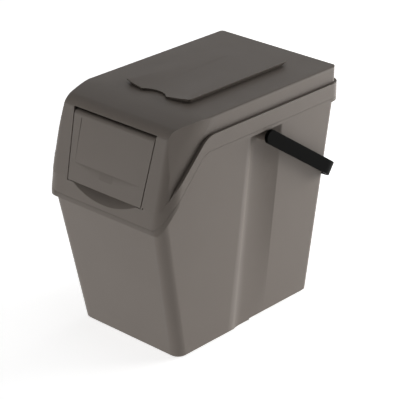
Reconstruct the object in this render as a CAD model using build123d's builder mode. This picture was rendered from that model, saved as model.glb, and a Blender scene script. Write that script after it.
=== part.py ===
from build123d import *
import math
import os

# Recycling bin: an open bucket with a stepped rim, a hooded lid with a drop-front flap,
# a pull plate on the lid and a carrying bail. Millimetres and degrees.
# The origin is on the floor under the middle of the bin, +Z up, and the flap faces -Y.
# A "back" is measured from the skirt's front, a "drop" down from the lid's top.

# The lid's skirt, the widest part of the mouldings; its front leans back
half_length = 196.0
skirt_half_width = 123.3
skirt_front_radius = 27.0
skirt_rear_radius = 22.5
skirt_tilt = 9.0
lid_top = 376.0
wall = 2.2
overrun = 20.0

# Rim seen from the side, rear to front: level, sloping, then steeper down to the front
rim_drop = 48.2
front_drop = 149.0
rim_knee_back = 86.0
rim_bend_back = 20.0
rim_bend_drop = 118.0
rim_radii = (32.0, 60.0)

# Foot of the hood seen from the side; it ends level across the front
foot_drop = 24.3
front_foot_drop = 116.5
foot_knee_back = 92.0
foot_bend_back = 26.0
foot_bend_drop = 90.4
foot_toe_back = 5.0
foot_radii = (35.0, 60.0, 4.0)
groove_width = 1.6
groove_depth = 1.2

# Bucket: walls that lean out from the floor to the rim; the sides stand closer at the rear
base_margin = 21.7
base_rear_margin = 26.7
rim_margin = 5.8
base_front_back = 51.5
front_wall_back = 5.4
base_rear_gap = 37.6
rim_rear_gap = 8.0
front_corner_radius = 17.5
rear_corner_radius = 12.2
bucket_wall = 2.4
bottom_chamfer = 3.2

# Shallow channel down each long side: soft at its front, sharp at its rear edge
channel_front_base = -38.0
channel_edge_base = 50.5
channel_depth_base = 5.9
channel_front_rim = -12.0
channel_edge_rim = 65.0
channel_depth_rim = 11.9
channel_deepest_share = 0.4

# Rim: a rolled bead under the skirt and an upstand inside it
bead_height = 5.0
upstand_height = 9.5
upstand_wall = 2.5
upstand_gap_half_width = 80.0
seat_gap = 0.3

# Hood: plan, side view and the cheeks that narrow it towards the front
hood_margin = 5.1
hood_rear_gap = 5.5
hood_rear_radius = 14.0
hood_front_radius = 18.5
hood_edge_radius = 3.5
crown_back = 101.0
crown_radius = 317.0
crown_slope = 9.8
brow_radius = 24.0
brow_slope = 65.0
front_tilt = 13.97
cheek_back = 96.0
cheek_fall = 50.9
cheek_angle = 18.6
cheek_radius = 125.0

# Flap in the hood's front; its drops are measured down the slope from the brow
flap_top_half_width = 81.0
flap_bottom_half_width = 73.7
flap_bottom_drop = 105.6
flap_thickness = 2.4
flap_corner_radius = 2.5
flap_gap = 1.7
hinge_drop = 8.8
barrel_radius = 8.5
barrel_wrap = 205.0
panel_half_width = 65.0
panel_top_drop = 11.0
panel_depth = 0.8
grip_drop = 76.6
grip_half_width = 67.0
grip_sagitta = 12.6
grip_depth = 2.5
grip_pad_margin = 2.5
stub_radius = 3.0
stub_clearance = 0.05
lug_radius = 7.0
lug_thickness = 4.0

# Window for the flap in the hood's front
window_depth = 2.6
window_brow_cover = 2.2
window_bottom_gap = 1.5
stop_width = 5.0

# Finger scoop in the skirt under the flap; its rises are measured up the skirt's front
scoop_half_width = 70.5
scoop_chord_rise = 35.4
scoop_low_rise = 15.2
scoop_reach = 26.0
scoop_lip_rise = 37.0

# Pull plate on the lid
plate_half_width = 64.0
plate_front_back = 115.0
plate_rear_gap = 59.0
plate_height = 7.5
plate_lip = 1.2
plate_undercut = 5.0
plate_corner_radius = 5.0
plate_bow = 9.0
notch_half_width = 22.5
notch_depth = 10.0
trough_half_width = 59.5
trough_depth = 4.2
trough_tip_gap = 28.0
peg_width = 6.0
peg_clearance = 0.1
peg_head_width = 7.6
peg_head_length = 3.0
peg_x = 42.0
peg_front_margin = 36.0
peg_rear_margin = 27.0

# Stacking recess under the bucket, which the pull plate of the bin below enters
stack_margin = 3.0
stack_headroom = 1.0

# Carrying bail and its bearings in the side channels
pivot_y = 24.8
pivot_drop = 63.4
bail_width = 21.7
bail_thickness = 5.7
bail_side_gap = 1.8
bail_rear_gap = 25.8
bail_rest_gap = 1.15
bail_bend_radius = 38.0
pin_radius = 5.0
pin_clearance = 0.05
pin_head_radius = 6.2
pin_head_length = 3.0
pin_head_gap = 0.8
boss_radius = 9.0
boss_gap = 0.8


# Places and levels that follow from the sizes
rim_level = lid_top - rim_drop
front_level = lid_top - front_drop
foot_level = lid_top - foot_drop
front_foot_level = lid_top - front_foot_drop
bead_foot = front_level - bead_height
hood_half_width = skirt_half_width - hood_margin
hood_rear = half_length - hood_rear_gap
crown_start = crown_back - half_length
plate_front = plate_front_back - half_length
plate_rear = half_length - plate_rear_gap
plate_top = lid_top + plate_height
lip_level = plate_top - plate_lip
pivot_z = lid_top - pivot_drop
block_middle = (channel_edge_base + channel_front_rim) / 2

# The two stepped outlines run on past both faces of the skirt
run_out = half_length + 2 * overrun
beyond = skirt_half_width + overrun
rim_knee = (rim_knee_back - half_length, rim_level)
rim_bend = (rim_bend_back - half_length, lid_top - rim_bend_drop)
rim_steepness = (rim_bend[1] - front_level) / rim_bend_back
rim_end = (-run_out, front_level - rim_steepness * (run_out - half_length))
rim_line = [(run_out, rim_level), rim_knee, rim_bend, rim_end]
foot_knee = (foot_knee_back - half_length, foot_level)
foot_bend = (foot_bend_back - half_length, lid_top - foot_bend_drop)
foot_toe = (foot_toe_back - half_length, front_foot_level)
foot_line = [(run_out, foot_level), foot_knee, foot_bend, foot_toe, (-run_out, front_foot_level)]

# Bucket: every pair is at the floor, at the rim's level
side_widths = (skirt_half_width - base_margin, skirt_half_width - rim_margin)
rear_widths = (skirt_half_width - base_rear_margin, skirt_half_width - rim_margin)
base_front = base_front_back - half_length
front_fall = (front_wall_back - half_length - base_front) / front_level
front_walls = (base_front, base_front + front_fall * rim_level)
rear_walls = (half_length - base_rear_gap, half_length - rim_rear_gap)
channel_fronts = (channel_front_base, channel_front_rim)
channel_edges = (channel_edge_base, channel_edge_rim)
channel_depths = (channel_depth_base, channel_depth_rim)


def moved_outline(points, distance):
    """Corners of an open outline, rear to front, moved outward; every run keeps its slope."""
    runs = [(Vector(*b) - Vector(*a)).normalized() for a, b in zip(points, points[1:])]
    normals = [Vector(run.Y, -run.X) for run in runs]
    normals = normals[:1] + normals + normals[-1:]
    moved = []
    for point, before, after in zip(points, normals, normals[1:]):
        middle = (before + after).normalized()
        moved.append(Vector(*point) + middle * (distance / middle.dot(before)))
    return moved


def moved_radii(points, radii, distance):
    """Corner radii of that outline: a crest widens as it moves outward, a hollow narrows."""
    rounded = []
    for before, point, after, radius in zip(points, points[1:], points[2:], radii):
        turn = (Vector(*point) - Vector(*before)).cross(Vector(*after) - Vector(*point)).Z
        rounded.append(radius + math.copysign(distance, turn))
    return rounded


def stepped_region(points, radii, distance, level):
    """Side view of what lies between a stepped outline, moved outward, and a level."""
    with BuildSketch(Plane.YZ) as region:
        with BuildLine():
            rounded = moved_radii(points, radii, distance)
            edge = FilletPolyline(*moved_outline(points, distance), radius=rounded)
            rear = edge @ 0
            front = edge @ 1
            Polyline(rear, (rear.X, level), (front.X, level), front)
        make_face()
    return region.sketch


def at_level(pair, level):
    """A size of the bucket at a level, from its values at the floor and at the rim's level."""
    base, rim = pair
    return base + (rim - base) * level / rim_level


def bucket_end(widths, ends, corner_radius, inset):
    """One end of the bucket as a solid block, from the middle out, moved inward by an inset."""
    toward_end = Axis((0, 0, 0), (0, ends[0], 0))
    shift = math.copysign(inset, ends[0])
    low_end = ends[0] - shift
    high_end = at_level(ends, lid_top) - shift
    low_width = widths[0] - inset
    high_width = at_level(widths, lid_top) - inset
    with BuildPart() as block:
        with BuildSketch(Plane.YZ):
            Polygon(
                (block_middle, 0),
                (low_end, 0),
                (high_end, lid_top),
                (block_middle, lid_top),
                align=None,
            )
        extrude(amount=beyond, both=True)
        with BuildSketch(Plane.XZ):
            Polygon(
                (-low_width, 0),
                (low_width, 0),
                (high_width, lid_top),
                (-high_width, lid_top),
                align=None,
            )
        extrude(amount=2 * half_length, both=True, mode=Mode.INTERSECT)
        end_face = faces().sort_by(toward_end)[-1]
        fillet(end_face.edges().sort_by(Axis.X)[::3], corner_radius - inset)
        if inset == 0:
            bottom = faces().sort_by(Axis.Z)[0]
            chamfer(bottom.edges().sort_by_distance((0, block_middle, 0))[1:], bottom_chamfer)
    return block.part


def channel_plan(level, inset):
    """Plan of the space that one side channel takes out, at a level."""
    front = at_level(channel_fronts, level)
    edge = at_level(channel_edges, level)
    side = at_level(side_widths, level) - inset
    rear_side = at_level(rear_widths, level) - inset
    deep = side - at_level(channel_depths, level)
    deepest = front + (edge - front) * channel_deepest_share
    bend = ((side + deep) / 2, (front + deepest) / 2)
    with BuildSketch(Plane.XY.offset(level)) as plan:
        with BuildLine():
            soft = TangentArc((side, front), bend, tangent=(0, 1))
            TangentArc(bend, (deep, deepest), tangent=soft % 1)
            TangentArc((deep, deepest), (rear_side, edge), tangent=(0, 1))
            Polyline((rear_side, edge), (beyond, edge), (beyond, front), (side, front))
        make_face()
    return plan.sketch


def channel_space(inset):
    """The two side channels, moved inward by an inset."""
    with BuildPart() as space:
        loft([channel_plan(-overrun, inset), channel_plan(lid_top + overrun, inset)], ruled=True)
        mirror(about=Plane.YZ)
    return space.part


def bucket_block(inset):
    """The bucket as a solid block, moved inward by an inset, with its side channels."""
    front_end = bucket_end(side_widths, front_walls, front_corner_radius, inset)
    rear_end = bucket_end(rear_widths, rear_walls, rear_corner_radius, inset)
    channels = channel_space(inset)
    with BuildPart() as block:
        add(front_end)
        add(rear_end)
        add(channels, mode=Mode.SUBTRACT)
    return block.part


def leaning_plane(y, level, tilt):
    """Plane across a front that leans back, through a place on it; its y points outward."""
    lean = math.radians(tilt)
    down = (0, -math.sin(lean), -math.cos(lean))
    return Plane(origin=(0, y, level), x_dir=(1, 0, 0), z_dir=down)


def leaning_block(half_width, rear, front, corner_radii):
    """Block with upright rear corners and a front that leans back with its corners."""
    with BuildPart() as block:
        with BuildSketch(Plane.XY) as plan:
            with Locations((0, rear)):
                Rectangle(2 * half_width, 2 * half_length + beyond, align=(Align.CENTER, Align.MAX))
            fillet(plan.vertices().group_by(Axis.Y)[-1], corner_radii[0])
        extrude(amount=lid_top + overrun)
        with BuildSketch(front) as across:
            Rectangle(2 * half_width, 2 * half_length + beyond, align=(Align.CENTER, Align.MAX))
            fillet(across.vertices().group_by(Axis.Y)[-1], corner_radii[1])
        extrude(amount=lid_top, both=True, mode=Mode.INTERSECT)
    return block.part


def skirt_block(inset):
    """The skirt as a solid block, moved inward by an inset."""
    front = leaning_plane(inset - half_length, bead_foot, skirt_tilt)
    corner_radii = (skirt_rear_radius - inset, skirt_front_radius - inset)
    return leaning_block(skirt_half_width - inset, half_length - inset, front, corner_radii)


def brow_places(inset):
    """Where the crown's arc and the brow's arc end in the hood's side view."""
    crown = math.radians(crown_slope)
    brow = math.radians(brow_slope)
    crown_arc = crown_radius - inset
    brow_arc = brow_radius - inset
    crown_end = Vector(
        crown_start - crown_arc * math.sin(crown),
        lid_top - inset - crown_arc * (1 - math.cos(crown)),
    )
    brow_end = crown_end - Vector(
        brow_arc * (math.sin(brow) - math.sin(crown)),
        brow_arc * (math.cos(crown) - math.cos(brow)),
    )
    return crown_end, brow_end


def hood_block(inset, sunk):
    """The hood as a solid block, moved inward by an inset and sunk into the skirt."""
    half_width = hood_half_width - inset
    rear = hood_rear - inset
    top = lid_top - inset
    edge_radius = hood_edge_radius - inset
    crown_end, brow_end = brow_places(inset)
    toe_run = (brow_end.Y - front_level) * math.tan(math.radians(front_tilt))
    front = leaning_plane(brow_end.X, brow_end.Y, front_tilt)
    corner_radii = (hood_rear_radius - inset, hood_front_radius - inset)
    block = leaning_block(half_width, rear, front, corner_radii)
    with BuildPart() as hood:
        add(block)
        # Side view, with the rear top edge rounded
        with BuildSketch(Plane.YZ):
            with BuildLine():
                Line((rear - edge_radius, top), (crown_start, top))
                arc = TangentArc((crown_start, top), crown_end, tangent=(-1, 0))
                TangentArc(crown_end, brow_end, tangent=arc % 1)
                Polyline(
                    brow_end,
                    (brow_end.X - toe_run, front_level),
                    (rear, front_level),
                    (rear, top - edge_radius),
                )
                TangentArc((rear, top - edge_radius), (rear - edge_radius, top), tangent=(0, 1))
            make_face()
        extrude(amount=beyond, both=True, mode=Mode.INTERSECT)
        # Cheeks
        slant = math.radians(cheek_fall)
        cheek = Plane(
            origin=(0, cheek_back - half_length, lid_top),
            x_dir=(1, 0, 0),
            z_dir=(0, -math.cos(slant), -math.sin(slant)),
        )
        with BuildSketch(cheek):
            with BuildLine():
                start = -inset * math.tan(math.radians(cheek_angle / 2))
                narrow = half_width - (half_length - start) * math.tan(math.radians(cheek_angle))
                corners = [(half_width, -2 * beyond), (half_width, start), (narrow, half_length)]
                right = FilletPolyline(corners, radius=cheek_radius)
                Line(right @ 1, (0, half_length))
                Line(right @ 0, (0, -2 * beyond))
                mirror(about=Plane.YZ)
            make_face()
        extrude(amount=2 * lid_top, both=True, mode=Mode.INTERSECT)
        side_view = stepped_region(foot_line, foot_radii, -sunk, lid_top + overrun)
        extrude(side_view, amount=beyond, both=True, mode=Mode.INTERSECT)
    return hood.part


def edge_waste(inset):
    """What comes off the hood's long top edges to round them."""
    side = hood_half_width - inset
    top = lid_top - inset
    radius = hood_edge_radius - inset
    low = (side, top - radius)
    high = (side - radius, top)
    above = top + overrun
    with BuildPart() as waste:
        with BuildSketch(Plane.XZ):
            with BuildLine():
                TangentArc(low, high, tangent=(0, 1))
                Polyline(high, (side - radius, above), (beyond, above), (beyond, low[1]), low)
            make_face()
        extrude(amount=2 * half_length, both=True)
        mirror(about=Plane.YZ)
    return waste.part


def rounded_hood(inset):
    """The hood's block with its long top edges rounded."""
    block = hood_block(inset, wall)
    waste = edge_waste(inset)
    with BuildPart() as hood:
        add(block)
        add(waste, mode=Mode.SUBTRACT)
    return hood.part


def stack_plan(grown):
    """Plan of the stacking recess, grown outward."""
    with BuildSketch(Plane.XY) as plan:
        with Locations((0, (plate_front - plate_bow + plate_rear) / 2)):
            RectangleRounded(
                2 * (plate_half_width + stack_margin + grown),
                plate_rear - plate_front + plate_bow + 2 * (stack_margin + grown),
                plate_corner_radius + stack_margin + grown,
            )
    return plan.sketch


def flap_half_width(drop):
    """Half the flap's width at a drop down the slope from the brow."""
    narrowing = (flap_top_half_width - flap_bottom_half_width) / flap_bottom_drop
    return flap_top_half_width - narrowing * drop


def slope_outline(gap, top, bottom):
    """Outline of the flap, widened by a gap, between two drops; drawn on the front's slope."""
    upper = flap_half_width(top) + gap
    lower = flap_half_width(bottom) + gap
    return Polygon((upper, -top), (-upper, -top), (-lower, -bottom), (lower, -bottom), align=None)


def segment(half_chord, sagitta, level, grown):
    """Face between an arc that hangs from a level chord and that chord, grown outward."""
    radius = (half_chord**2 + sagitta**2) / (2 * sagitta)
    width = 2 * (half_chord + grown)
    with BuildSketch(Plane.XY) as face:
        with Locations((0, level - sagitta + radius)):
            Circle(radius + grown)
        with Locations((0, level)):
            Rectangle(width, 2 * radius, align=(Align.CENTER, Align.MAX), mode=Mode.INTERSECT)
    return face.sketch


def plate_outline(level, inset):
    """Plan of the pull plate: bowed at the front, with a finger notch."""
    half_width = plate_half_width - inset
    front = plate_front + inset
    rear = plate_rear - inset
    radius = plate_corner_radius
    bowed = front - plate_bow
    notch = notch_half_width + inset
    notch_share = notch / (half_width - radius)
    lip = bowed + plate_bow * notch_share**2
    with BuildSketch(Plane.XY.offset(level)) as plan:
        with BuildLine():
            Line((0, rear), (half_width - radius, rear))
            TangentArc((half_width - radius, rear), (half_width, rear - radius), tangent=(1, 0))
            Line((half_width, rear - radius), (half_width, front + radius))
            TangentArc((half_width, front + radius), (half_width - radius, front), tangent=(0, -1))
            Line((half_width - radius, front), (notch, lip))
            ThreePointArc((notch, lip), (0, lip + notch_depth), (-notch, lip))
            Line((-notch, lip), (radius - half_width, front))
            TangentArc((-half_width, front + radius), (radius - half_width, front), tangent=(0, -1))
            Line((-half_width, front + radius), (-half_width, rear - radius))
            TangentArc((-half_width, rear - radius), (radius - half_width, rear), tangent=(0, 1))
            Line((radius - half_width, rear), (0, rear))
        make_face()
    return plan.sketch


def trough(grown):
    """The round hollow in the plate's top, which runs out to a tip; grown by a wall."""
    radius = (trough_half_width**2 + trough_depth**2) / (2 * trough_depth)
    tip = Vector(0, plate_rear - trough_tip_gap, plate_top)
    tilt = math.atan(trough_depth / (tip.Y - plate_front + plate_bow))
    run = Vector(0, math.cos(tilt), math.sin(tilt))
    rise = Vector(0, -math.sin(tilt), math.cos(tilt))
    axis = Plane(origin=tip + rise * radius, x_dir=(1, 0, 0), z_dir=run)
    with BuildPart() as hollow:
        with BuildSketch(axis):
            Circle(radius + grown)
        extrude(amount=2 * half_length, both=True)
    return hollow.part


# Solid blocks that the bucket and the lid share
skirt_outer = skirt_block(0)
skirt_inner = skirt_block(wall)
upstand_outer = skirt_block(wall + seat_gap)
upstand_inner = skirt_block(wall + seat_gap + upstand_wall)
bucket_outer = bucket_block(0)
bucket_inner = bucket_block(bucket_wall)
hood_outer = rounded_hood(0)
hood_inner = rounded_hood(wall)
groove_space = hood_block(-groove_width, groove_depth)

# Bucket
stack_height = plate_height + stack_headroom
channel_floor = at_level(side_widths, pivot_z) - at_level(channel_depths, pivot_z)
pivot = (pivot_y, pivot_z)
arm_inner_x = skirt_half_width + bail_side_gap
boss_end_x = arm_inner_x - boss_gap

with BuildPart() as cavity:
    add(bucket_inner)
    # The floor, raised over the stacking recess
    with BuildSketch(Plane.XY):
        Rectangle(2 * beyond, 2 * run_out)
    extrude(amount=bucket_wall, mode=Mode.SUBTRACT)
    extrude(stack_plan(bucket_wall), amount=stack_height + bucket_wall, mode=Mode.SUBTRACT)

with BuildPart() as bead_hollow:
    add(skirt_inner)
    side_view = stepped_region(rim_line, rim_radii, -wall, 0)
    extrude(side_view, amount=beyond, both=True, mode=Mode.INTERSECT)

with BuildPart() as bead:
    add(skirt_outer)
    side_view = stepped_region(rim_line, rim_radii, 0, 0)
    extrude(side_view, amount=beyond, both=True, mode=Mode.INTERSECT)
    side_view = stepped_region(rim_line, rim_radii, -bead_height, lid_top + overrun)
    extrude(side_view, amount=beyond, both=True, mode=Mode.INTERSECT)
    add(bead_hollow.part, mode=Mode.SUBTRACT)
    # Its foot is level across the front
    with BuildSketch(Plane.XY):
        Rectangle(2 * beyond, 2 * run_out)
    extrude(amount=bead_foot, mode=Mode.SUBTRACT)

with BuildPart() as upstand:
    add(upstand_outer)
    add(upstand_inner, mode=Mode.SUBTRACT)
    side_view = stepped_region(rim_line, rim_radii, 0, lid_top + overrun)
    extrude(side_view, amount=beyond, both=True, mode=Mode.INTERSECT)
    side_view = stepped_region(rim_line, rim_radii, upstand_height, 0)
    extrude(side_view, amount=beyond, both=True, mode=Mode.INTERSECT)
    with BuildSketch(Plane.XZ):
        with Locations((0, front_level)):
            Rectangle(2 * upstand_gap_half_width, 2 * (rim_level - front_level))
    extrude(amount=half_length, mode=Mode.SUBTRACT)

with BuildPart() as bin_body:
    add(bucket_outer)
    # Cut down to the stepped rim
    side_view = stepped_region(rim_line, rim_radii, 0, lid_top + overrun)
    extrude(side_view, amount=beyond, both=True, mode=Mode.SUBTRACT)
    add(bead.part)
    # Bearing bosses for the bail
    with BuildSketch(Plane.YZ):
        with Locations(pivot):
            Circle(boss_radius)
    extrude(amount=boss_end_x, both=True)
    add(cavity.part, mode=Mode.SUBTRACT)
    with BuildSketch(Plane.YZ):
        with Locations(pivot):
            Circle(pin_radius + pin_clearance)
    extrude(amount=arm_inner_x, both=True, mode=Mode.SUBTRACT)
    extrude(stack_plan(0), amount=stack_height, mode=Mode.SUBTRACT)
    add(upstand.part)

# Lid
with BuildPart() as lid_space:
    add(skirt_inner)
    side_view = stepped_region(foot_line, foot_radii, -wall, 0)
    extrude(side_view, amount=beyond, both=True, mode=Mode.INTERSECT)
    add(hood_inner)

front_lean = math.radians(front_tilt)
outward = Vector(0, -math.cos(front_lean), math.sin(front_lean))
down_slope = Vector(0, -math.sin(front_lean), -math.cos(front_lean))
brow = brow_places(0)[1]
front_slope = Plane(origin=(0, brow.X, brow.Y), x_dir=(1, 0, 0), z_dir=outward)
hinge = front_slope.origin + down_slope * hinge_drop - outward * barrel_radius
hinge_side = Plane(origin=hinge, x_dir=outward, z_dir=(1, 0, 0))
hinge_half_width = flap_half_width(hinge_drop)
window_bottom = flap_bottom_drop + window_bottom_gap
window_frame_top = hinge_drop + barrel_radius + flap_gap

with BuildPart() as window_frame:
    with BuildSketch(front_slope):
        slope_outline(flap_gap + wall, window_frame_top, window_bottom)
    extrude(amount=-window_depth - wall)

with BuildPart() as window_space:
    with BuildSketch(front_slope.offset(-window_depth)):
        slope_outline(flap_gap, -window_brow_cover, window_bottom)
    extrude(amount=window_depth + overrun)
    with BuildSketch(front_slope):
        slope_outline(flap_gap - stop_width, window_frame_top, window_bottom)
        slope_outline(flap_gap, -window_brow_cover, window_frame_top)
    extrude(amount=-window_depth - 2 * wall)

skirt_lean = math.radians(skirt_tilt)
skirt_front = Plane(
    origin=(0, -half_length, bead_foot),
    x_dir=(1, 0, 0),
    z_dir=(0, -math.cos(skirt_lean), math.sin(skirt_lean)),
)
inward_up = (0, 1, 1)
scoop_sagitta = scoop_chord_rise - scoop_low_rise
scoop_face = segment(scoop_half_width, scoop_sagitta, scoop_chord_rise, 0)
scoop_back = segment(scoop_half_width, scoop_sagitta, scoop_chord_rise, wall)
scoop_run = scoop_reach * math.sqrt(2)

with BuildPart() as scoop_space:
    shown = Pos(0, -wall, -wall) * (skirt_front * scoop_face)
    extrude(shown, amount=scoop_run + 2 * wall * math.sqrt(2), dir=inward_up)

with BuildPart() as scoop_wall:
    shown = skirt_front * scoop_back
    extrude(shown, amount=scoop_run, dir=inward_up)
    with BuildSketch(Plane.XY.offset(bead_foot + scoop_lip_rise)):
        Rectangle(2 * half_length, 4 * half_length)
    extrude(amount=half_length, mode=Mode.SUBTRACT)

peg_rows = (plate_front + peg_front_margin, plate_rear - peg_rear_margin)
peg_places = [(x, y) for x in (-peg_x, peg_x) for y in peg_rows]
lug_inner_x = hinge_half_width + flap_gap

with BuildPart() as lid:
    add(skirt_outer)
    side_view = stepped_region(foot_line, foot_radii, 0, 0)
    extrude(side_view, amount=beyond, both=True, mode=Mode.INTERSECT)
    side_view = stepped_region(rim_line, rim_radii, seat_gap, lid_top + overrun)
    extrude(side_view, amount=beyond, both=True, mode=Mode.INTERSECT)
    # A narrow groove runs round the hood's foot
    add(groove_space, mode=Mode.SUBTRACT)
    add(hood_outer)
    add(lid_space.part, mode=Mode.SUBTRACT)
    add(window_frame.part)
    # Lugs that carry the flap's stubs
    for side in (1, -1):
        with BuildSketch(hinge_side.offset(side * lug_inner_x)):
            Circle(lug_radius)
        extrude(amount=side * lug_thickness)
    add(scoop_wall.part)
    add(scoop_space.part, mode=Mode.SUBTRACT)
    add(window_space.part, mode=Mode.SUBTRACT)
    with BuildSketch(hinge_side):
        Circle(stub_radius + stub_clearance)
    extrude(amount=lug_inner_x + 2 * lug_thickness, both=True, mode=Mode.SUBTRACT)
    # Holes for the pull plate's pegs
    with BuildSketch(Plane.XY.offset(lid_top)):
        with Locations(*peg_places):
            Rectangle(peg_width + 2 * peg_clearance, peg_width + 2 * peg_clearance)
    extrude(amount=-2 * wall, mode=Mode.SUBTRACT)

# Pull plate
trough_space = trough(0)
trough_under = trough(wall)

with BuildPart() as plate_space:
    roof_share = (plate_height - wall) / (plate_height - plate_lip)
    low = plate_outline(lid_top, plate_undercut + wall)
    high = plate_outline(plate_top - wall, plate_undercut * (1 - roof_share) + wall)
    loft([low, high], ruled=True)
    add(trough_under, mode=Mode.SUBTRACT)

with BuildPart() as top_plate:
    loft([plate_outline(lid_top, plate_undercut), plate_outline(lip_level, 0)], ruled=True)
    extrude(plate_outline(lip_level, 0), amount=plate_lip)
    add(plate_space.part, mode=Mode.SUBTRACT)
    # Pegs that snap through the lid
    with BuildSketch(Plane.XY.offset(plate_top)):
        with Locations(*peg_places):
            Rectangle(peg_width, peg_width)
    extrude(amount=-plate_height - wall - peg_clearance)
    with BuildSketch(Plane.XY.offset(lid_top - wall - peg_clearance)):
        with Locations(*peg_places):
            Rectangle(peg_head_width, peg_head_width)
    extrude(amount=-peg_head_length)
    add(trough_space, mode=Mode.SUBTRACT)

# Crescent grip in the flap: its floor slopes out to the arc
slant = down_slope * -grip_sagitta - outward * grip_depth
with BuildPart() as grip_space:
    shown = front_slope * segment(grip_half_width, grip_sagitta, -grip_drop, 0)
    extrude(shown, amount=slant.length, dir=slant)
    with BuildSketch(front_slope.offset(-2 * grip_depth)):
        with Locations((0, -grip_drop)):
            Rectangle(4 * grip_half_width, 4 * grip_sagitta, align=(Align.CENTER, Align.MIN))
    extrude(amount=4 * grip_depth, mode=Mode.SUBTRACT)

# Flap
with BuildPart() as front_flap:
    with BuildSketch(hinge_side):
        with BuildLine():
            outer = CenterArc((0, 0), barrel_radius, 0, -barrel_wrap)
            inner = CenterArc((0, 0), barrel_radius - flap_thickness, 0, -barrel_wrap)
            Line(outer @ 0, inner @ 0)
            Line(outer @ 1, inner @ 1)
        make_face()
        with Locations((barrel_radius, 0)):
            Rectangle(flap_thickness, flap_bottom_drop - hinge_drop, align=(Align.MAX, Align.MIN))
    extrude(amount=flap_top_half_width, both=True)
    # End discs close the roll
    for side in (1, -1):
        with BuildSketch(hinge_side.offset(side * hinge_half_width)):
            Circle(barrel_radius)
        extrude(amount=-side * flap_thickness)
    # Pad behind the grip
    pad = segment(grip_half_width, grip_sagitta, -grip_drop, grip_pad_margin)
    extrude(front_slope.offset(-flap_thickness / 2) * pad, amount=-flap_thickness / 2 - grip_depth)
    # The sides taper
    with BuildSketch(front_slope) as sides:
        slope_outline(0, -barrel_radius, flap_bottom_drop)
        fillet(sides.vertices().group_by(Axis.Y)[0], flap_corner_radius)
    extrude(amount=4 * barrel_radius, both=True, mode=Mode.INTERSECT)
    # Shallow panel, deepest under the roll
    with BuildSketch(Plane(origin=front_slope.origin, x_dir=outward, z_dir=(1, 0, 0))):
        Polygon(
            (panel_depth, panel_top_drop),
            (-panel_depth, panel_top_drop),
            (0, grip_drop),
            (panel_depth, grip_drop),
            align=None,
        )
    extrude(amount=panel_half_width, both=True, mode=Mode.SUBTRACT)
    add(grip_space.part, mode=Mode.SUBTRACT)
    # Stubs
    for side in (1, -1):
        with BuildSketch(hinge_side.offset(side * (hinge_half_width - flap_thickness / 2))):
            Circle(stub_radius)
        extrude(amount=side * (flap_thickness / 2 + flap_gap + lug_thickness))

# Carrying bail: at rest its bow lies behind the bucket, a gap off the leaning rear wall
bail_reach = half_length - pivot_y + bail_rear_gap
bow_reach = bail_reach - bail_thickness
wall_lean = (rear_walls[1] - rear_walls[0]) / rim_level
across = bow_reach + wall_lean * bail_width / 2
along = wall_lean * bow_reach - bail_width / 2
room = rear_walls[0] + wall_lean * pivot_z - pivot_y + bail_rest_gap
bail_lean = math.atan2(along, across) + math.acos(room / math.hypot(across, along))
bail_plane = Plane(
    origin=(0, pivot_y, pivot_z),
    x_dir=(1, 0, 0),
    z_dir=(0, math.sin(bail_lean), math.cos(bail_lean)),
)
arm_outer_x = arm_inner_x + bail_thickness
pin_end_x = channel_floor - bucket_wall - pin_head_gap

with BuildPart() as carry_handle:
    with BuildSketch(bail_plane) as bow:
        Rectangle(2 * arm_outer_x, bail_reach, align=(Align.CENTER, Align.MIN))
        fillet(bow.vertices().group_by(Axis.Y)[-1], bail_bend_radius)
        with BuildSketch(mode=Mode.PRIVATE) as gap:
            Rectangle(2 * arm_inner_x, bow_reach, align=(Align.CENTER, Align.MIN))
            fillet(gap.vertices().group_by(Axis.Y)[-1], bail_bend_radius - bail_thickness)
        add(gap.sketch, mode=Mode.SUBTRACT)
    extrude(amount=bail_width / 2, both=True)
    for side in (1, -1):
        with BuildSketch(Plane.YZ.offset(side * arm_inner_x)):
            with Locations(pivot):
                Circle(bail_width / 2)
        extrude(amount=side * bail_thickness)
        # Pin and its snap head inside the bucket
        with BuildSketch(Plane.YZ.offset(side * arm_inner_x)):
            with Locations(pivot):
                Circle(pin_radius)
        extrude(amount=-side * (arm_inner_x - pin_end_x + pin_head_length))
        with BuildSketch(Plane.YZ.offset(side * pin_end_x)):
            with Locations(pivot):
                Circle(pin_head_radius)
        extrude(amount=-side * pin_head_length)

os.makedirs("parts", exist_ok=True)
bin_body.part.label = "bin_body"
export_step(bin_body.part, "parts/bin_body.step")
lid.part.label = "lid"
export_step(lid.part, "parts/lid.step")
top_plate.part.label = "top_plate"
export_step(top_plate.part, "parts/top_plate.step")
front_flap.part.label = "front_flap"
export_step(front_flap.part, "parts/front_flap.step")
carry_handle.part.label = "carry_handle"
export_step(carry_handle.part, "parts/carry_handle.step")
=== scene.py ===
import math

import bmesh
import bpy
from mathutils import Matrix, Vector


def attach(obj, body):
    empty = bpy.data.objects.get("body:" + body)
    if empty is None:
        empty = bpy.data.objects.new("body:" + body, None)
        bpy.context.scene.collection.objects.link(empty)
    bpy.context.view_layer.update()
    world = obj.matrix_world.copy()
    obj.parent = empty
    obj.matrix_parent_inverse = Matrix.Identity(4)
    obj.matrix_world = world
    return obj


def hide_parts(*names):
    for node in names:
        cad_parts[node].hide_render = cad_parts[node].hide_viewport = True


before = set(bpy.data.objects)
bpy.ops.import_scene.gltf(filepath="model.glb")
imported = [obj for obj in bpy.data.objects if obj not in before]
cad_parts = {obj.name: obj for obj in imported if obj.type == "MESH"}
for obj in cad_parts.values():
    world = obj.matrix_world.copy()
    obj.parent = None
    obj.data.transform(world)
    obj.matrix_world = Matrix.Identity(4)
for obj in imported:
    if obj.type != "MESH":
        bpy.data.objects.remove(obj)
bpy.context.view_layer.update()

# Recycling bin in satin moulded plastic: bucket, hooded lid, pull plate, flap and bail.
# Metres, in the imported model's frame.

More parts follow.
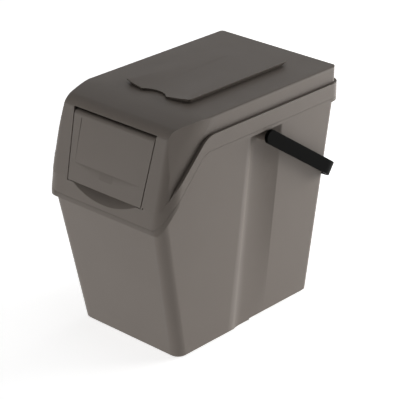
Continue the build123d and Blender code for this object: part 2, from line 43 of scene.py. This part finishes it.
# Moulded edges
EDGE_RADIUS = 0.0009
EDGE_STEPS = 2
SHARP_ANGLE = math.radians(28)
MERGE_DISTANCE = 0.00002
FLAT_ANGLE = math.radians(0.05)

# Plastics, as linear colours that run into the worn ones in faint clouds
BIN_GREY = (0.150, 0.129, 0.112, 1)
BIN_GREY_WORN = (0.142, 0.122, 0.106, 1)
BIN_ROUGHNESS = 0.5
BIN_IOR = 1.46
BAIL_BLACK = (0.0030, 0.0030, 0.0027, 1)
BAIL_BLACK_WORN = (0.0044, 0.0044, 0.0041, 1)
BAIL_ROUGHNESS = 0.45
BAIL_IOR = 1.09
PLASTIC_GLOSS = 0.2

# Surface of both plastics: each noise as scale and detail
CLOUD_NOISE = (9, 3)
RUB_NOISE = (26, 4)
GRAIN_NOISE = (900, 2)
GRAIN_STRENGTH = 0.25
GRAIN_DEPTH = 0.00012
RUBBED_DROP = 0.04
RUBBED_RISE = 0.05

# Floor: white paper, with a glow that lights nothing and is only seen
FLOOR_HALF = 6.0
FLOOR_DROP = 0.0004
FLOOR_WHITE = (0.86, 0.86, 0.86, 1)
FLOOR_ROUGHNESS = 0.9
FLOOR_GLOSS = 0.1
FLOOR_GLOW = 0.74

# World: full white where it is seen, a dim even sky for the light that it gives
WHITE = (1, 1, 1, 1)
SEEN_LEVEL = 1
SKY_LEVEL = 0.05

# Camera of the photograph; its fall is how far it looks down
SENSOR_WIDTH = 36
LENS = 155.96
CAMERA_PLACE = (1.6297, -1.7485, 1.2938)
CAMERA_AZIMUTH = 42.8
CAMERA_FALL = 25.0

# Soft boxes, all aimed at the middle of the bin: name, azimuth, elevation and power
LIGHT_AIM = Vector((0, 0, 0.19))
LIGHT_DISTANCE = 2.2
BOX_SIDE = 1.4
SOFT_BOXES = (
    ("left_box", -30, 0, 23),
    ("right_box", 150, 4, 58),
    ("back_box", 180, 0, 30),
    ("top_box", 0, 88, 8),
)

# Light table: stands in for the light that the bright paper throws up at the bin
TABLE_SIDE = 3.0
TABLE_DROP = 0.0002
TABLE_POWER = 20


def new_object(name, data):
    """Links a mesh, lamp or camera as a new object at the origin."""
    thing = bpy.data.objects.new(name, data)
    bpy.context.scene.collection.objects.link(thing)
    return thing


def toward(azimuth, elevation):
    """Direction from the bin to a place; azimuth 0 is in front of the flap, 90 at +X."""
    turn = math.radians(azimuth)
    rise = math.radians(elevation)
    level = math.cos(rise)
    return Vector((math.sin(turn) * level, -math.cos(turn) * level, math.sin(rise)))


def aim(thing, direction):
    """Turns a lamp or camera to look along a direction, without roll."""
    thing.rotation_euler = direction.to_track_quat("-Z", "Y").to_euler()


def moulded(node, name, body, material):
    """Dresses a moulding: its joined-up skin with softened edges and a plastic finish."""
    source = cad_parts[node]
    shape = bmesh.new()
    shape.from_mesh(source.data)
    bmesh.ops.remove_doubles(shape, verts=shape.verts, dist=MERGE_DISTANCE)
    bmesh.ops.dissolve_limit(
        shape,
        angle_limit=FLAT_ANGLE,
        verts=shape.verts,
        edges=shape.edges,
        delimit={"NORMAL"},
    )
    mesh = bpy.data.meshes.new(name)
    shape.to_mesh(mesh)
    shape.free()
    mesh.shade_smooth()
    mesh.set_sharp_from_angle(angle=SHARP_ANGLE)
    mesh.materials.append(material)
    piece = new_object(name, mesh)
    bevel = piece.modifiers.new("moulded_edges", "BEVEL")
    bevel.width = EDGE_RADIUS
    bevel.segments = EDGE_STEPS
    bevel.limit_method = "ANGLE"
    bevel.angle_limit = SHARP_ANGLE
    bevel.use_clamp_overlap = True
    flow = piece.modifiers.new("even_skin", "WEIGHTED_NORMAL")
    flow.keep_sharp = True
    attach(piece, body)
    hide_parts(node)


def noise(tree, place, scale_and_detail):
    """Noise over the object's own coordinates; gives its factor."""
    cloud = tree.nodes.new("ShaderNodeTexNoise")
    scale, detail = scale_and_detail
    cloud.inputs["Scale"].default_value = scale
    cloud.inputs["Detail"].default_value = detail
    tree.links.new(place.outputs["Object"], cloud.inputs["Vector"])
    return cloud.outputs["Fac"]


def satin_plastic(name, colour, worn, roughness, ior):
    """Satin moulded plastic: fine spark-eroded grain, faint flow clouds, rubbed sheen."""
    material = bpy.data.materials.new(name)
    material.use_nodes = True
    tree = material.node_tree
    shader = tree.nodes["Principled BSDF"]
    shader.inputs["IOR"].default_value = ior
    shader.inputs["Specular IOR Level"].default_value = PLASTIC_GLOSS
    place = tree.nodes.new("ShaderNodeTexCoord")

    tone = tree.nodes.new("ShaderNodeMix")
    tone.data_type = "RGBA"
    tone.inputs["A"].default_value = colour
    tone.inputs["B"].default_value = worn
    tree.links.new(noise(tree, place, CLOUD_NOISE), tone.inputs["Factor"])
    tree.links.new(tone.outputs["Result"], shader.inputs["Base Color"])

    sheen = tree.nodes.new("ShaderNodeMapRange")
    sheen.inputs["To Min"].default_value = roughness - RUBBED_DROP
    sheen.inputs["To Max"].default_value = roughness + RUBBED_RISE
    tree.links.new(noise(tree, place, RUB_NOISE), sheen.inputs["Value"])
    tree.links.new(sheen.outputs["Result"], shader.inputs["Roughness"])

    texture = tree.nodes.new("ShaderNodeBump")
    texture.inputs["Strength"].default_value = GRAIN_STRENGTH
    texture.inputs["Distance"].default_value = GRAIN_DEPTH
    tree.links.new(noise(tree, place, GRAIN_NOISE), texture.inputs["Height"])
    tree.links.new(texture.outputs["Normal"], shader.inputs["Normal"])
    return material


def seen(tree):
    """1 where the camera, a reflection or a view through something looks, else 0."""
    path = tree.nodes.new("ShaderNodeLightPath")
    factor = path.outputs["Is Camera Ray"]
    for ray in ("Is Glossy Ray", "Is Transmission Ray"):
        either = tree.nodes.new("ShaderNodeMath")
        either.operation = "MAXIMUM"
        tree.links.new(factor, either.inputs[0])
        tree.links.new(path.outputs[ray], either.inputs[1])
        factor = either.outputs["Value"]
    return factor


def show_where_seen(tree, hidden, shown, end):
    """Leads one shader to the end node, or another wherever it is seen."""
    choose = tree.nodes.new("ShaderNodeMixShader")
    tree.links.new(seen(tree), choose.inputs["Fac"])
    tree.links.new(hidden, choose.inputs[1])
    tree.links.new(shown, choose.inputs[2])
    tree.links.new(choose.outputs["Shader"], tree.nodes[end].inputs["Surface"])


def pale_floor():
    """Plain white floor that keeps the bin's soft shadow and reads white to the camera."""
    shape = bmesh.new()
    bmesh.ops.create_grid(shape, x_segments=1, y_segments=1, size=FLOOR_HALF)
    bmesh.ops.translate(shape, verts=shape.verts, vec=(0, 0, -FLOOR_DROP))
    mesh = bpy.data.meshes.new("floor")
    shape.to_mesh(mesh)
    shape.free()
    floor = new_object("floor", mesh)
    material = bpy.data.materials.new("white_paper")
    material.use_nodes = True
    tree = material.node_tree
    paper = tree.nodes["Principled BSDF"]
    paper.inputs["Base Color"].default_value = FLOOR_WHITE
    paper.inputs["Roughness"].default_value = FLOOR_ROUGHNESS
    paper.inputs["Specular IOR Level"].default_value = FLOOR_GLOSS
    glow = tree.nodes.new("ShaderNodeEmission")
    glow.inputs["Strength"].default_value = FLOOR_GLOW
    both = tree.nodes.new("ShaderNodeAddShader")
    tree.links.new(paper.outputs["BSDF"], both.inputs[0])
    tree.links.new(glow.outputs["Emission"], both.inputs[1])
    show_where_seen(tree, paper.outputs["BSDF"], both.outputs["Shader"], "Material Output")
    floor.data.materials.append(material)


def square_lamp(name, side, power):
    """Square area lamp at the origin."""
    lamp = bpy.data.lights.new(name, "AREA")
    lamp.shape = "SQUARE"
    lamp.size = side
    lamp.energy = power
    return new_object(name, lamp)


def soft_box(name, azimuth, elevation, power):
    """Square soft box that faces the middle of the bin."""
    light = square_lamp(name, BOX_SIDE, power)
    light.location = LIGHT_AIM + LIGHT_DISTANCE * toward(azimuth, elevation)
    aim(light, LIGHT_AIM - light.location)


def light_table():
    """Lamp that lies on the floor and faces up; the camera sees the paper instead."""
    light = square_lamp("light_table", TABLE_SIDE, TABLE_POWER)
    light.location = (0, 0, -TABLE_DROP)
    light.rotation_euler = (math.pi, 0, 0)
    light.visible_camera = False


def white_world():
    """White to the camera and in reflections, a dim even sky for the rest."""
    world = bpy.data.worlds.new("studio")
    bpy.context.scene.world = world
    world.use_nodes = True
    tree = world.node_tree
    dim = tree.nodes["Background"]
    dim.inputs["Color"].default_value = WHITE
    dim.inputs["Strength"].default_value = SKY_LEVEL
    white = tree.nodes.new("ShaderNodeBackground")
    white.inputs["Color"].default_value = WHITE
    white.inputs["Strength"].default_value = SEEN_LEVEL
    show_where_seen(
        tree, dim.outputs["Background"], white.outputs["Background"], "World Output"
    )


def photo_camera():
    """Camera of the photograph: a long lens that looks down from the front right."""
    data = bpy.data.cameras.new("photo_camera")
    data.sensor_width = SENSOR_WIDTH
    data.lens = LENS
    camera = new_object("photo_camera", data)
    camera.location = CAMERA_PLACE
    aim(camera, -toward(CAMERA_AZIMUTH, CAMERA_FALL))
    bpy.context.scene.camera = camera


grey = satin_plastic("grey_plastic", BIN_GREY, BIN_GREY_WORN, BIN_ROUGHNESS, BIN_IOR)
black = satin_plastic("black_plastic", BAIL_BLACK, BAIL_BLACK_WORN, BAIL_ROUGHNESS, BAIL_IOR)

moulded("bin_body", "bucket_shell", "bucket", grey)
moulded("lid", "hooded_lid", "cover", grey)
moulded("top_plate", "pull_plate", "cover", grey)
moulded("front_flap", "drop_flap", "flap", grey)
moulded("carry_handle", "bail", "bail", black)

photo_camera()
pale_floor()
white_world()
for box in SOFT_BOXES:
    soft_box(*box)
light_table()

bpy.context.scene.view_settings.view_transform = "Standard"
